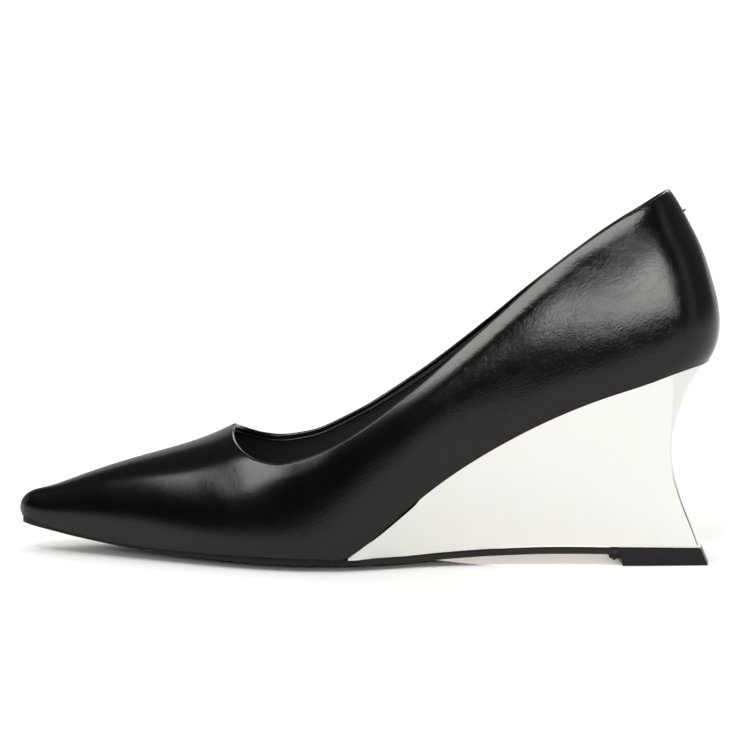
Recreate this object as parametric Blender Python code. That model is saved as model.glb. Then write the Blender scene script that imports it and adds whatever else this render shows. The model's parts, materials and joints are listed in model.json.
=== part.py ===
"""Left shoe of a pair of pointed-toe wedge pumps.

The shoe is worked out the way a last maker does it: a table of sections gives the last, the upper is
the skin of that last up to the collar line, and the sole pieces fill the space under it.

While it is worked out, lengths are in millimetres, x runs from the toe (0) to the heel, the outer
(lateral) side is -y and z is height above the floor. The finished pieces are moved so that the origin
is on the floor under the middle of the shoe, and written in metres.
"""

from collections import namedtuple

import bpy
import numpy as np

# Driving sizes, mm
WALL = 1.8
INSOLE_THICK = 2.0
GAP = 0.3
TIP_INSET = 0.3
TIP_RUN = 30.0
SOLE_INSET = 1.2
SOLE_CROWN = 1.5
SOLE_FRONT = 1.3
INSOLE_FROM = 7.0
INSOLE_TO = 2.5
INSOLE_CLEAR = 0.4
INSOLE_TIP_CLEAR = 0.9
INSOLE_TIP_RUN = 17.0
WEDGE_INSET = 0.5
WEDGE_TIP_THICK = 0.5
LIFT_FRONT = 210.6
LIFT_RAKE = 1.4
LIFT_BACK = 241.3
LIFT_FLARE_BACK = 1.2
LIFT_FLARE_SIDE = 0.8
HEEL_BOW = 2.0
HEEL_BOW_FROM = 205.0
NECK_FROM = 175.0
NECK_HEIGHT = 0.53
SEAT_CORNER = 230.0
THROAT = 77.2
SWEEP_FROM = 42.0
SWEEP_TO = 150.0
TOP_LIMIT = 0.9995
FORE_SHARE = 0.6

# Mesh density: lines and rows of the upper, which crowd towards the toe and the sole, then stations,
# lines across and levels of the pieces under it. FINE is the points on a line before it is thinned.
COLUMNS = 46
ROWS = 15
TOE_CROWD = 0.35
ROW_CROWD = 1.25
INSOLE_STATIONS = 50
INSOLE_ACROSS = 7
SOLE_STATIONS = 44
SOLE_CROWD = 1.5
SOLE_ACROSS = 13
WEDGE_STATIONS = 32
WEDGE_ACROSS = 11
WEDGE_LEVELS = 14
LIFT_STATIONS = 16
LIFT_ACROSS = 7
FINE = 3000

# One row for each section of the last. foot_x, lateral and medial give the edge where the upper meets
# the sole. top_x, top_y, top_half and top_z give the end of the section: on the ridge as far as the
# throat, and a little above the collar behind it. rise and bulge push the lower half of the section up
# and out, reach and drop shape its upper half.
Section = namedtuple(
    "Section",
    "name foot_x lateral medial top_x top_y top_half top_z rise bulge reach drop",
)
SECTIONS = [
    Section("tip", 0.9, 15.0, 15.0, 0.0, 15.0, 0.0, 14.6, 0.45, 0.1, 0.5, 0.0),
    Section("nose", 2.6, 11.9, 18.2, 1.9, 14.8, 0.0, 19.4, 0.60, 0.7, 0.72, 0.0),
    Section("point", 7.5, 8.7, 20.7, 7.2, 14.5, 0.0, 22.0, 0.63, 1.0, 0.78, 0.0),
    Section("toe", 21.0, 1.8, 25.4, 21.0, 13.6, 0.0, 26.5, 0.65, 1.4, 0.82, 0.0),
    Section("vamp", 45.0, -11.2, 31.5, 45.0, 10.0, 0.0, 34.5, 0.62, 1.7, 0.77, 0.0),
    Section("throat", 72.0, -26.3, 36.2, 73.0, 5.5, 0.0, 44.0, 0.57, 0.8, 0.69, 0.0),
    Section("ball", 100.0, -36.6, 37.0, 100.0, 1.5, 0.0, 60.0, 0.54, 0.4, 0.73, 0.0),
    Section("break", 123.0, -37.0, 32.6, 122.0, 0.0, 12.0, 70.5, 0.57, 2.0, 0.83, 0.0),
    Section("waist", 150.0, -31.4, 26.2, 147.0, 0.0, 21.0, 80.5, 0.50, 2.8, 0.82, 0.10),
    Section("arch", 177.0, -27.2, 24.0, 170.0, 0.0, 20.5, 97.0, 0.35, 3.9, 0.80, 0.22),
    Section("seat", 205.0, -25.2, 24.0, 192.0, 0.0, 18.5, 114.0, 0.24, 4.5, 0.76, 0.30),
    Section("heel", 225.0, -22.0, 21.6, 209.5, 0.0, 14.4, 125.5, 0.205, 6.6, 0.765, 0.30),
    Section("counter", 237.8, -14.0, 14.0, 221.0, 0.0, 8.0, 131.0, 0.245, 9.8, 0.775, 0.305),
    Section("back", 243.7, 0.0, 0.0, 225.2, 0.0, 0.0, 132.6, 0.236, 11.3, 0.775, 0.307),
]

# Height of the last's edge above the floor, and how far the middle of the bottom hangs below it.
Bottom = namedtuple("Bottom", "x edge crown")
BOTTOM = [
    Bottom(0.0, 13.0, 0.0),
    Bottom(12.0, 9.4, 0.1),
    Bottom(27.0, 6.8, 0.4),
    Bottom(43.0, 5.1, 1.0),
    Bottom(60.0, 4.7, 1.8),
    Bottom(75.0, 4.7, 2.2),
    Bottom(116.0, 4.6, 2.2),
    Bottom(122.0, 8.0, 2.0),
    Bottom(130.0, 14.2, 1.6),
    Bottom(142.0, 24.4, 0.7),
    Bottom(154.5, 33.4, 0.0),
    Bottom(171.0, 43.1, 0.0),
    Bottom(187.0, 51.0, 0.0),
    Bottom(203.0, 57.4, 0.0),
    Bottom(220.0, 62.8, 0.0),
    Bottom(234.0, 67.3, 0.0),
    Bottom(246.0, 69.6, 0.0),
]

# Collar line seen from the side, from the throat to the back of the heel.
Collar = namedtuple("Collar", "x lateral medial")
COLLAR = [
    Collar(THROAT, 47.4, 47.4),
    Collar(79.2, 41.9, 44.6),
    Collar(82.0, 39.4, 43.2),
    Collar(87.0, 37.2, 41.4),
    Collar(93.6, 36.3, 40.4),
    Collar(104.0, 38.8, 41.8),
    Collar(117.3, 45.1, 47.4),
    Collar(138.3, 60.0, 59.6),
    Collar(162.7, 81.1, 78.0),
    Collar(187.0, 102.1, 98.8),
    Collar(211.5, 119.1, 117.2),
    Collar(229.5, 128.8, 128.8),
]

# Under the wedge: half widths of its base and the height of the outsole's top face.
Base = namedtuple("Base", "x lateral medial top")
BASE = [
    Base(119.0, 35.0, 31.6, 4.1),
    Base(135.0, 29.2, 25.8, 3.9),
    Base(150.0, 24.6, 21.4, 4.6),
    Base(168.0, 21.8, 19.4, 5.4),
    Base(190.0, 21.2, 19.6, 6.0),
    Base(212.0, 21.9, 20.8, 5.9),
    Base(242.0, 20.6, 20.0, 5.5),
]

# Thickness of the outsole's edge, which is pared down along the toe.
Edge = namedtuple("Edge", "x thick")
EDGE = [
    Edge(0.0, 2.4),
    Edge(4.0, 1.95),
    Edge(14.0, 1.05),
    Edge(45.0, 0.9),
    Edge(90.0, 2.0),
    Edge(211.0, 2.0),
]

# Back of the wedge seen from the side, from its base (0) to its top (1): its corners and its middle.
Neck = namedtuple("Neck", "height corner back")
NECK = [
    Neck(0.0, 238.8, 240.8),
    Neck(0.115, 236.2, 238.2),
    Neck(0.25, 232.8, 234.8),
    Neck(0.38, 230.4, 232.4),
    Neck(0.51, 228.7, 230.7),
    Neck(0.57, 228.4, 230.6),
    Neck(0.62, 228.5, 231.2),
    Neck(0.68, 228.8, 232.5),
    Neck(0.75, 229.2, 233.9),
    Neck(0.82, 229.5, 235.3),
    Neck(0.885, 229.8, 237.1),
    Neck(0.95, 229.9, 240.2),
    Neck(1.0, SEAT_CORNER, 243.2),
]


def column(rows, name):
    return np.array([getattr(row, name) for row in rows], dtype=float)


def even_curve(knots, values):
    """Cubic curve through the rows that doesn't overshoot them."""
    steps = np.diff(knots)
    slopes = np.diff(values) / steps
    tangents = np.zeros(len(knots))
    tangents[0], tangents[-1] = slopes[0], slopes[-1]
    for i in range(1, len(knots) - 1):
        if slopes[i - 1] * slopes[i] > 0:
            before = 2 * steps[i] + steps[i - 1]
            after = steps[i] + 2 * steps[i - 1]
            tangents[i] = (before + after) / (before / slopes[i - 1] + after / slopes[i])

    def at(x):
        x = np.clip(np.asarray(x, dtype=float), knots[0], knots[-1])
        i = np.clip(np.searchsorted(knots, x, side="right") - 1, 0, len(steps) - 1)
        t = (x - knots[i]) / steps[i]
        start = values[i] * (1 + 2 * t) * (1 - t) ** 2 + tangents[i] * steps[i] * t * (1 - t) ** 2
        end = values[i + 1] * t**2 * (3 - 2 * t) + tangents[i + 1] * steps[i] * t**2 * (t - 1)
        return start + end

    return at


def spline(knots, values, closed=False):
    """Cubic spline through the rows: closed on itself, or free at the start and level at the end."""
    count = len(knots)
    steps = np.diff(knots)
    matrix = np.zeros((count, count))
    right = np.zeros(count)
    for i in range(1, count - 1):
        matrix[i, i - 1 : i + 2] = steps[i - 1], 2 * (steps[i - 1] + steps[i]), steps[i]
        right[i] = 6 * (
            (values[i + 1] - values[i]) / steps[i] - (values[i] - values[i - 1]) / steps[i - 1]
        )
    if closed:
        matrix[0, [0, 1, -2]] = 2 * (steps[0] + steps[-1]), steps[0], steps[-1]
        right[0] = 6 * (
            (values[1] - values[0]) / steps[0] - (values[0] - values[-2]) / steps[-1]
        )
        matrix[-1, [0, -1]] = 1, -1
    else:
        matrix[0, 0] = 1
        matrix[-1, [-2, -1]] = steps[-1], 2 * steps[-1]
        right[-1] = -6 * (values[-1] - values[-2]) / steps[-1]
    bends = np.linalg.solve(matrix, right)

    def at(x):
        x = np.asarray(x, dtype=float)
        if closed:
            x = knots[0] + np.mod(x - knots[0], knots[-1] - knots[0])
        i = np.clip(np.searchsorted(knots, x, side="right") - 1, 0, count - 2)
        h = steps[i]
        a = (knots[i + 1] - x) / h
        b = (x - knots[i]) / h
        bend = (a**3 - a) * bends[i] + (b**3 - b) * bends[i + 1]
        return a * values[i] + b * values[i + 1] + bend * h**2 / 6

    return at


edge_height = even_curve(column(BOTTOM, "x"), column(BOTTOM, "edge"))
crown_depth = even_curve(column(BOTTOM, "x"), column(BOTTOM, "crown"))

# The last: along is the way round its edge, 0 at the tip and HALF at the back.
FOOT_X = column(SECTIONS, "foot_x")
MIDDLE_HALF = (column(SECTIONS, "medial") - column(SECTIONS, "lateral")) / 2
STEPS = np.hypot(np.diff(FOOT_X), np.diff(MIDDLE_HALF))
ALONG = np.concatenate([[0.0], np.cumsum(STEPS)])
HALF = ALONG[-1]
LOOP = np.concatenate([ALONG, 2 * HALF - ALONG[-2::-1]])
foot_x = spline(LOOP, np.concatenate([FOOT_X, FOOT_X[-2::-1]]), closed=True)
LATERAL = column(SECTIONS, "lateral")
MEDIAL = column(SECTIONS, "medial")
foot_y = spline(LOOP, np.concatenate([LATERAL, MEDIAL[-2::-1]]), closed=True)
top_x = spline(ALONG, column(SECTIONS, "top_x"))
top_z = spline(ALONG, column(SECTIONS, "top_z"))
SHAPE = {
    name: even_curve(ALONG, column(SECTIONS, name))
    for name in ("top_y", "top_half", "rise", "bulge", "reach", "drop")
}


def foot_edge(along, side, inset=0.0):
    """Points (x, y) of the last's edge, moved inward by inset. side is -1 lateral, 1 medial."""
    u = np.asarray(along, dtype=float) if side < 0 else 2 * HALF - np.asarray(along, dtype=float)
    small = 0.02
    dx = foot_x(u + small) - foot_x(u - small)
    dy = foot_y(u + small) - foot_y(u - small)
    length = np.hypot(dx, dy)
    out = np.stack([dy / length, -dx / length], axis=-1)
    return np.stack([foot_x(u), foot_y(u)], axis=-1) - inset * out, out


def last_surface(along, up, side):
    """Points of the last. up runs from 0 at its edge to 1 at the ridge or above the collar."""
    along, up = np.broadcast_arrays(np.asarray(along, float), np.asarray(up, float))
    foot, out = foot_edge(along, side)
    low = edge_height(foot[..., 0])
    high = top_z(along)
    tall = high - low
    top_side = SHAPE["top_y"](along) + side * SHAPE["top_half"](along)
    top = np.stack([top_x(along), top_side, high], axis=-1)
    start = np.concatenate([foot, low[..., None]], axis=-1)
    lower = start.copy()
    lower[..., :2] += out * SHAPE["bulge"](along)[..., None]
    lower[..., 2] += tall * SHAPE["rise"](along)
    upper = top.copy()
    upper[..., :2] += (foot - top[..., :2]) * SHAPE["reach"](along)[..., None]
    upper[..., 2] -= tall * SHAPE["drop"](along)
    t = up[..., None]
    return (
        start * (1 - t) ** 3
        + 3 * lower * t * (1 - t) ** 2
        + 3 * upper * t**2 * (1 - t)
        + top * t**3
    )


COLLAR_FROM = COLLAR[0].x
COLLAR_TO = COLLAR[-1].x
COLLAR_WAY = np.sqrt((column(COLLAR, "x") - COLLAR_FROM) / (COLLAR_TO - COLLAR_FROM))
COLLAR_LINE = {
    -1: even_curve(COLLAR_WAY, column(COLLAR, "lateral")),
    1: even_curve(COLLAR_WAY, column(COLLAR, "medial")),
}


def above_collar(points, side):
    """Height above the collar line, negative below it and everywhere ahead of the throat."""
    way = np.clip((points[..., 0] - COLLAR_FROM) / (COLLAR_TO - COLLAR_FROM), 0, 1)
    height = points[..., 2] - COLLAR_LINE[side](np.sqrt(way))
    return np.where(points[..., 0] < COLLAR_FROM, -1.0, height)


def spread(points, count, power):
    """count + 1 points along a polyline, closer together near its start when power is over 1."""
    steps = np.linalg.norm(np.diff(points, axis=0), axis=1)
    length = np.concatenate([[0.0], np.cumsum(steps)])
    wanted = length[-1] * np.linspace(0, 1, count + 1) ** power
    return np.stack([np.interp(wanted, length, points[:, k]) for k in range(3)], axis=-1)


def toe_line():
    """The middle line of the vamp: up the nose, then along the ridge to the throat."""
    nose = last_surface(np.zeros(20), np.linspace(0, 1, 20), -1)
    run = np.linspace(0, HALF / 2, FINE)
    ridge = last_surface(run, np.ones(len(run)), -1)
    ridge = ridge[ridge[:, 0] <= COLLAR_FROM]
    return spread(np.concatenate([nose, ridge[1:]]), ROWS, ROW_CROWD)


def side_line(start, side):
    """One line of the upper, from the last's edge to the collar. Lines that start at the toe sweep
    back along the vamp, and the others go straight up."""
    up = np.linspace(0, TOP_LIMIT, FINE)
    steep = 1 + (start / SWEEP_FROM) ** 2
    swept = start * (1 - up) ** (-1 / steep)
    fade = np.clip((SWEEP_TO - start) / (SWEEP_TO - SWEEP_FROM), 0, 1)
    along = np.minimum(start + (swept - start) * fade**2 * (3 - 2 * fade), HALF)
    points = last_surface(along, up, side)
    over = above_collar(points, side)
    hit = int(np.argmax(over >= 0))
    part = over[hit - 1] / (over[hit - 1] - over[hit])
    if points[hit - 1, 0] < COLLAR_FROM:
        part = (COLLAR_FROM - points[hit - 1, 0]) / (points[hit, 0] - points[hit - 1, 0])
    end = points[hit - 1] + part * (points[hit] - points[hit - 1])
    return spread(np.concatenate([points[:hit], end[None]]), ROWS, ROW_CROWD)


def grid_normals(grid):
    """Outward normals of a grid that is closed along its first axis."""
    around = np.roll(grid, -1, axis=0) - np.roll(grid, 1, axis=0)
    up = np.gradient(grid, axis=1)
    normals = np.cross(around, up)
    return normals / np.linalg.norm(normals, axis=-1, keepdims=True)


def upper_mesh():
    t = np.linspace(0, 1, COLUMNS + 1)
    starts = HALF * t**2 * (1 + TOE_CROWD) / (t + TOE_CROWD)
    lateral = [side_line(start, -1) for start in starts[1:]]
    medial = [side_line(start, 1) for start in starts[1:-1]]
    outer = np.array([toe_line()] + lateral + medial[::-1])
    normals = grid_normals(outer)
    inner = outer - WALL * normals
    inner[:, 0, 2] = outer[:, 0, 2]
    count, rows = outer.shape[:2]
    points = np.concatenate([outer.reshape(-1, 3), inner.reshape(-1, 3)])
    faces = []
    inside = count * rows
    for i in range(count):
        j = (i + 1) % count
        for k in range(rows - 1):
            a, b = i * rows + k, j * rows + k
            faces.append((a, b, b + 1, a + 1))
            faces.append((inside + a, inside + a + 1, inside + b + 1, inside + b))
        low_a, low_b = i * rows, j * rows
        faces.append((low_a, inside + low_a, inside + low_b, low_b))
        high_a, high_b = low_a + rows - 1, low_b + rows - 1
        faces.append((high_a, high_b, inside + high_b, inside + high_a))
    return points, faces


def rim(stations, across):
    """Grid positions round the border of a plate, once round."""
    loop = [(i, 0) for i in range(stations)]
    loop += [(stations - 1, j) for j in range(1, across)]
    loop += [(i, across - 1) for i in range(stations - 2, -1, -1)]
    loop += [(0, j) for j in range(across - 2, 0, -1)]
    return loop


def block_mesh(bottom, top, levels=1, ring=None):
    """A solid between two grids of the same size. ring(height) gives a level of its walls."""
    stations, across = bottom.shape[:2]
    loop = rim(stations, across)
    points = [*bottom.reshape(-1, 3), *top.reshape(-1, 3)]
    half = stations * across
    rings = [[i * across + j for i, j in loop]]
    for level in range(1, levels):
        rings.append(list(range(len(points), len(points) + len(loop))))
        points.extend(ring(level / levels))
    rings.append([half + i * across + j for i, j in loop])
    faces = []
    for i in range(stations - 1):
        for j in range(across - 1):
            a, b = i * across + j, (i + 1) * across + j
            faces.append((a, a + 1, b + 1, b))
            faces.append((half + a, half + b, half + b + 1, half + a + 1))
    for low, high in zip(rings, rings[1:]):
        for k in range(len(loop)):
            n = (k + 1) % len(loop)
            faces.append((low[k], low[n], high[n], high[k]))
    return np.array(points), faces


def cross_grid(lateral, medial, across):
    """Plan positions on straight lines from the lateral edge to the medial one."""
    share = np.linspace(0, 1, across)[None, :, None]
    return lateral[:, None, :] * (1 - share) + medial[:, None, :] * share, share[..., 0] * 2 - 1


def with_height(plan, height):
    return np.concatenate([plan, np.broadcast_to(height, plan.shape[:2])[..., None]], axis=-1)


def fore_edge(side):
    """Edge of the outsole under the upper: nearly flush at the tip, set in along the sides."""
    along = np.linspace(0.5, HALF * FORE_SHARE, FINE)
    inset = TIP_INSET + (SOLE_INSET - TIP_INSET) * np.clip(along / TIP_RUN, 0, 1)
    return foot_edge(along, side, inset[:, None])[0]


SOLE_FORE = {side: fore_edge(side) for side in (-1, 1)}
BALL_ROWS = np.array([80.0, 92.0, 104.0])


def sole_half(side):
    """Edge of the outsole and of the wedge's base, as y over x."""
    fore = SOLE_FORE[side]
    order = np.argsort(fore[:, 0])
    name = "lateral" if side < 0 else "medial"
    base_x = np.concatenate([BALL_ROWS, column(BASE, "x")])
    ball_y = np.interp(BALL_ROWS, fore[order, 0], fore[order, 1])
    base_y = even_curve(base_x, np.concatenate([ball_y, side * column(BASE, name)]))

    def at(x):
        front = np.interp(x, fore[order, 0], fore[order, 1])
        return np.where(np.asarray(x) < BALL_ROWS[1], front, base_y(x))

    return at


SOLE_EDGE = {side: sole_half(side) for side in (-1, 1)}
FORE_X = np.array([96.0, 104.0, 112.0])
sole_top_rear = even_curve(
    np.concatenate([FORE_X, column(BASE, "x")]),
    np.concatenate([edge_height(FORE_X) - GAP, column(BASE, "top")]),
)


def sole_top(x):
    return np.where(np.asarray(x) < FORE_X[1], edge_height(x) - GAP, sole_top_rear(x))


sole_thick = even_curve(column(EDGE, "x"), column(EDGE, "thick"))


def insole_mesh():
    way = np.linspace(0, 1, INSOLE_STATIONS) ** ROW_CROWD
    along = INSOLE_FROM + (HALF - INSOLE_TO - INSOLE_FROM) * way
    near_tip = np.clip(1 - (along - INSOLE_FROM) / INSOLE_TIP_RUN, 0, 1)
    inset = WALL + INSOLE_CLEAR + INSOLE_TIP_CLEAR * near_tip
    lateral = foot_edge(along, -1, inset[:, None])[0]
    medial = foot_edge(along, 1, inset[:, None])[0]
    plan, share = cross_grid(lateral, medial, INSOLE_ACROSS)
    bottom = edge_height(plan[..., 0]) - crown_depth(plan[..., 0]) * (1 - share**2)
    return block_mesh(with_height(plan, bottom), with_height(plan, bottom + INSOLE_THICK))


def outsole_mesh():
    way = np.linspace(0, 1, SOLE_STATIONS) ** SOLE_CROWD
    x = SOLE_FRONT + (LIFT_FRONT - GAP - SOLE_FRONT) * way
    lateral = np.stack([x, SOLE_EDGE[-1](x)], axis=-1)
    medial = np.stack([x, SOLE_EDGE[1](x)], axis=-1)
    plan, share = cross_grid(lateral, medial, SOLE_ACROSS)
    crown = crown_depth(plan[..., 0])
    top = sole_top(plan[..., 0]) - crown * (1 - share**2)
    edge = sole_top(plan[..., 0]) - sole_thick(plan[..., 0])
    bottom = np.maximum(edge - SOLE_CROWN * crown * (1 - share**2), 0.0)
    return block_mesh(with_height(plan, bottom), with_height(plan, top))


def wedge_front():
    x = np.linspace(113.0, 125.0, 600)
    thick = edge_height(x) - GAP - (sole_top(x) + GAP)
    return float(x[np.argmax(thick > WEDGE_TIP_THICK)])


neck_corner = even_curve(column(NECK, "height"), column(NECK, "corner"))
neck_back = even_curve(column(NECK, "height"), column(NECK, "back"))


def along_at(x):
    """The way round the last's edge, half way round at most, at which it reaches x."""
    run = np.linspace(0, HALF, FINE)
    return float(np.interp(x, foot_x(run), run))


class HeelSide:
    """One side of the wedge, a straight wall from its base up to the heel seat."""

    def __init__(self, side, along):
        self.base_y = SOLE_EDGE[side]
        self.top = foot_edge(along, side, WEDGE_INSET)[0]
        self.last_x, self.last_y = self.top[-1]
        self.pull = np.clip((self.top[:, 0] - NECK_FROM) / (self.last_x - NECK_FROM), 0, 1) ** 1.5

    def wall_y(self, x, height):
        behind = self.last_y * self.base_y(x) / self.base_y(self.last_x)
        seat = np.where(x < self.last_x, np.interp(x, self.top[:, 0], self.top[:, 1]), behind)
        return (1 - height) * self.base_y(x) + height * seat

    def line(self, height):
        """Plan of the wall at one height, from the front of the wedge to its back corner."""
        x = self.top[:, 0] - self.pull * (self.last_x - neck_corner(height))
        return np.stack([x, self.wall_y(x, height)], axis=-1)


def seat_round(share):
    """Shape of the heel seat's back: 0 at its corners and 1 in the middle."""
    run = np.linspace(along_at(SEAT_CORNER), HALF, FINE)
    edge = foot_edge(run, -1, WEDGE_INSET)[0]
    x = np.interp(-np.abs(share), edge[:, 1] / abs(edge[0, 1]), edge[:, 0])
    return (x - edge[0, 0]) / (edge[-1, 0] - edge[0, 0])


def wedge_mesh():
    along = np.linspace(along_at(wedge_front()), along_at(SEAT_CORNER), WEDGE_STATIONS + 1)
    lateral, medial = HeelSide(-1, along), HeelSide(1, along)

    def plan(height):
        """Plan of one level. Its back is nearly straight up to the neck, and rounds off above it."""
        made, share = cross_grid(lateral.line(height), medial.line(height), WEDGE_ACROSS)
        way = np.clip((height - NECK_HEIGHT) / (1 - NECK_HEIGHT), 0, 1)
        rounding = way**2 * (3 - 2 * way)
        bow = (1 - rounding) * (1 - share**2) + rounding * seat_round(share)
        corner = neck_corner(height)
        reach = np.clip((made[..., 0] - HEEL_BOW_FROM) / (corner - HEEL_BOW_FROM), 0, 1)
        made[..., 0] += (neck_back(height) - corner) * bow * reach**2
        return made, share

    def level(height):
        made, share = plan(height)
        crown = crown_depth(made[..., 0]) * (1 - share**2)
        low = sole_top(made[..., 0]) + GAP - crown
        high = edge_height(made[..., 0]) - GAP - crown
        return with_height(made, (1 - height) * low + height * high)

    def ring(height):
        made = level(height)
        return [made[i, j] for i, j in rim(*made.shape[:2])]

    return block_mesh(level(0.0), level(1.0), WEDGE_LEVELS, ring)


def heel_outline(side, start, back, grow, count):
    """Edge of the top-lift from start to its back corner."""
    x = np.linspace(start, back - HEEL_BOW, count + 1)
    return np.stack([x, SOLE_EDGE[side](x) + side * grow], axis=-1)


def bowed(plan, share, back):
    """Plan positions of the top-lift, with its back bowed out between the corners."""
    reach = np.clip((plan[..., 0] - HEEL_BOW_FROM) / (back - HEEL_BOW - HEEL_BOW_FROM), 0, 1)
    moved = plan.copy()
    moved[..., 0] += HEEL_BOW * (1 - share**2) * reach**2
    return moved


def lift_mesh():
    top = {}
    foot = {}
    for side in (-1, 1):
        top[side] = heel_outline(side, LIFT_FRONT, LIFT_BACK, 0.0, LIFT_STATIONS)
        front = LIFT_FRONT + LIFT_RAKE
        back = LIFT_BACK + LIFT_FLARE_BACK
        foot[side] = heel_outline(side, front, back, LIFT_FLARE_SIDE, LIFT_STATIONS)
    plan, share = cross_grid(top[-1], top[1], LIFT_ACROSS)
    plan = bowed(plan, share, LIFT_BACK)
    floor, share = cross_grid(foot[-1], foot[1], LIFT_ACROSS)
    floor = bowed(floor, share, LIFT_BACK + LIFT_FLARE_BACK)
    return block_mesh(with_height(floor, 0.0), with_height(plan, sole_top(plan[..., 0])))


def srgb(code):
    """Linear colour of a hex code."""
    parts = [int(code[i : i + 2], 16) / 255 for i in (0, 2, 4)]
    linear = [p / 12.92 if p <= 0.04045 else ((p + 0.055) / 1.055) ** 2.4 for p in parts]
    return (*linear, 1.0)


def material(name, code, roughness, metallic):
    made = bpy.data.materials.new(name)
    made.use_nodes = True
    shader = made.node_tree.nodes["Principled BSDF"]
    shader.inputs["Base Color"].default_value = srgb(code)
    shader.inputs["Roughness"].default_value = roughness
    shader.inputs["Metallic"].default_value = metallic
    return made


def add_object(name, points, faces, shift, surface):
    mesh = bpy.data.meshes.new(name)
    mesh.from_pydata([tuple(p) for p in (points - shift) * 0.001], [], faces)
    mesh.validate()
    mesh.materials.append(surface)
    obj = bpy.data.objects.new(name, mesh)
    bpy.context.scene.collection.objects.link(obj)
    return obj


def main():
    for obj in list(bpy.data.objects):
        bpy.data.objects.remove(obj, do_unlink=True)
    pieces = {
        "upper": upper_mesh(),
        "insole": insole_mesh(),
        "outsole": outsole_mesh(),
        "wedge_heel": wedge_mesh(),
        "top_lift": lift_mesh(),
    }
    finishes = {
        "upper": material("black_leather", "16150F", 0.32, 0.0),
        "insole": material("insole_board", "1C1A17", 0.8, 0.0),
        "outsole": material("black_rubber", "272727", 0.6, 0.0),
        "wedge_heel": material("silver_plating", "F2F1EE", 0.12, 1.0),
        "top_lift": material("black_top_lift", "262626", 0.55, 0.0),
    }
    everything = np.concatenate([points for points, _ in pieces.values()])
    low, high = everything.min(axis=0), everything.max(axis=0)
    shift = np.array([(low[0] + high[0]) / 2, (low[1] + high[1]) / 2, low[2]])
    for name, (points, faces) in pieces.items():
        add_object(name, points, faces, shift, finishes[name])
        print(name, len(points), "points", len(faces), "faces")
    print("size mm", np.round(high - low, 2), "shift", np.round(shift, 3))


main()
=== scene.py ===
# %% [markdown]
# A pointed-toe wedge pump, left shoe.
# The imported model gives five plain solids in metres: the toe points along -X, the outer side of the
# foot along -Y and the floor is Z = 0. This lesson dresses them: each solid is copied, its edges are
# rounded, and the leather, lining, seams and finishes that a shoemaker adds are laid on top.

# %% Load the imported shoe
import json
import math

import bmesh
import bpy
import numpy as np
from mathutils import Matrix, Vector
from mathutils.bvhtree import BVHTree
from mathutils.kdtree import KDTree

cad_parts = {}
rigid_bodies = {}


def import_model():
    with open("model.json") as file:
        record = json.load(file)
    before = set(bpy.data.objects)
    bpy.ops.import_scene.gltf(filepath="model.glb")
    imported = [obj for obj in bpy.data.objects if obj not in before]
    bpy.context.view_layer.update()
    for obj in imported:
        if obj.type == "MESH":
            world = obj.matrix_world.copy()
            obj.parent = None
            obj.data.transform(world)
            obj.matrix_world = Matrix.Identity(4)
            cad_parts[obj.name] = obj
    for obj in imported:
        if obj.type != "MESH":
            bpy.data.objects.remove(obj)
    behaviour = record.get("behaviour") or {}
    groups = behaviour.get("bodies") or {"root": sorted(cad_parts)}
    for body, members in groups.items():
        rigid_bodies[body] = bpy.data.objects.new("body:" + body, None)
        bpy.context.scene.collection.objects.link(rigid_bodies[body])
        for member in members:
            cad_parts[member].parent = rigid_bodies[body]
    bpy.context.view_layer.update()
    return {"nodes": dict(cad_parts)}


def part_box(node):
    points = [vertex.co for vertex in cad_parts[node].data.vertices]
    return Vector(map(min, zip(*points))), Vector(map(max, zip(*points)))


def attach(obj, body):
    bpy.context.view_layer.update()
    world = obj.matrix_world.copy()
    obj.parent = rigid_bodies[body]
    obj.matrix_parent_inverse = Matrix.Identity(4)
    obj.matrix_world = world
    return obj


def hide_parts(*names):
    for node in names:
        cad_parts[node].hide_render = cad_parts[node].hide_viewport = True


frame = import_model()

MM = 0.001


def in_mm(values):
    return [round(value / MM, 1) for value in values]


# %% [markdown]
# Operators act on whatever is selected, so every step starts by selecting one piece and then the
# faces or edges it needs. The first three helpers do what a hand does with the mouse: take up a piece,
# put it down, and click on the parts of it that pass a test. The other two read and write the places
# of all of a piece's points at once, for the soft shapes that no single operator gives.

# %% Taking up a piece and picking parts of it
def take_up(piece, mode="EDIT"):
    """Makes this piece the only one that operators act on."""
    if bpy.context.mode != "OBJECT":
        bpy.ops.object.mode_set(mode="OBJECT")
    bpy.ops.object.select_all(action="DESELECT")
    piece.select_set(True)
    bpy.context.view_layer.objects.active = piece
    bpy.ops.object.mode_set(mode=mode)


def put_down():
    bpy.ops.object.mode_set(mode="OBJECT")
    bpy.ops.object.select_all(action="DESELECT")


def pick(kind, test):
    """Selects the vertices, edges or faces of the piece in hand that pass the test."""
    bpy.ops.mesh.select_mode(type=kind)
    bpy.ops.mesh.select_all(action="DESELECT")
    mesh = bmesh.from_edit_mesh(bpy.context.object.data)
    mesh.normal_update()
    parts = {"VERT": mesh.verts, "EDGE": mesh.edges, "FACE": mesh.faces}[kind]
    found = [part for part in parts if test(part)]
    for part in found:
        part.select_set(True)
    mesh.select_flush_mode()
    bmesh.update_edit_mesh(bpy.context.object.data)
    return len(found)


def get_points(piece):
    return np.array([vert.co for vert in piece.data.vertices])


def set_points(piece, places):
    piece.data.vertices.foreach_set("co", places.ravel())
    piece.data.update()


# %% [markdown]
# A CAD solid comes in as loose triangles. A finished piece needs joined quads, because bevels and
# subdivision follow quads smoothly. The solid itself stays as it is, and the copy is merged and its
# triangles are paired up again. Edges that turn sharply are marked as seams, which split the skin
# into islands: outside, inside and the rims between them.

# %% A merged copy of a CAD solid
JOIN_WITHIN = 0.002 * MM
PAIR_UP_TO = math.radians(40)
SHARP = math.radians(50)


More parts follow.
